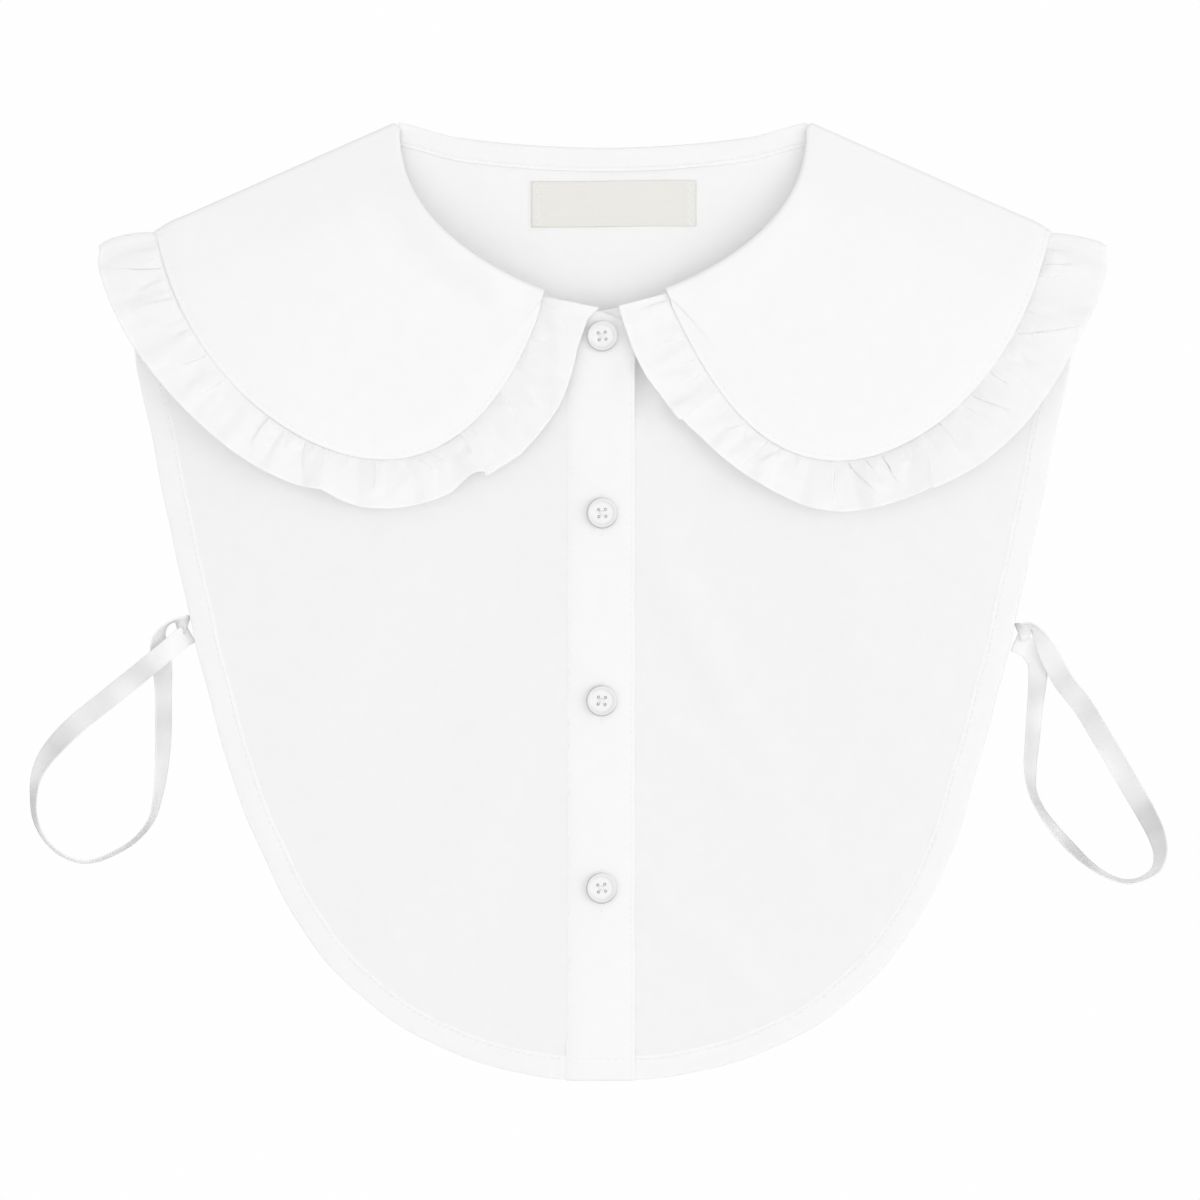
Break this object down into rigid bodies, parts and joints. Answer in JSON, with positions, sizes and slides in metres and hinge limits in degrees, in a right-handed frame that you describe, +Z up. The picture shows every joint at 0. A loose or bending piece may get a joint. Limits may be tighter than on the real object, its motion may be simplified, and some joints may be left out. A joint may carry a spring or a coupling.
{
  "type": "detachable collar",
  "caption": "Detachable button-front blouse collar: a round flat collar edged with a gathered ruffle, on a rounded bib front and back, with a ribbon loop at each side.",
  "frame": {"origin": "on the surface that the collar lies on, under the middle of the garment without its ribbon loops", "axes": "+X to the viewer's right along the shoulders, +Y from the bib's hem towards the back neck, +Z up out of the surface, away from the back of the garment"},
  "size_m": [0.4089, 0.3445, 0.0165],
  "materials": {
    "cotton_poplin": "matte",
    "woven_label": "satin",
    "satin_ribbon": "satin",
    "button_resin": "gloss"
  },
  "bodies": {
    "root": {"back_bib": "cotton_poplin", "front_panel_left": "cotton_poplin", "front_panel_right": "cotton_poplin", "button_placket": "cotton_poplin", "collar_leaf": "cotton_poplin", "collar_ruffle": "cotton_poplin", "neck_facing": "cotton_poplin", "neck_label": "woven_label", "ribbon_loop_left": "satin_ribbon", "ribbon_loop_right": "satin_ribbon", "button_1": "button_resin", "button_2": "button_resin", "button_3": "button_resin", "button_4": "button_resin"}
  },
  "joints": []
}
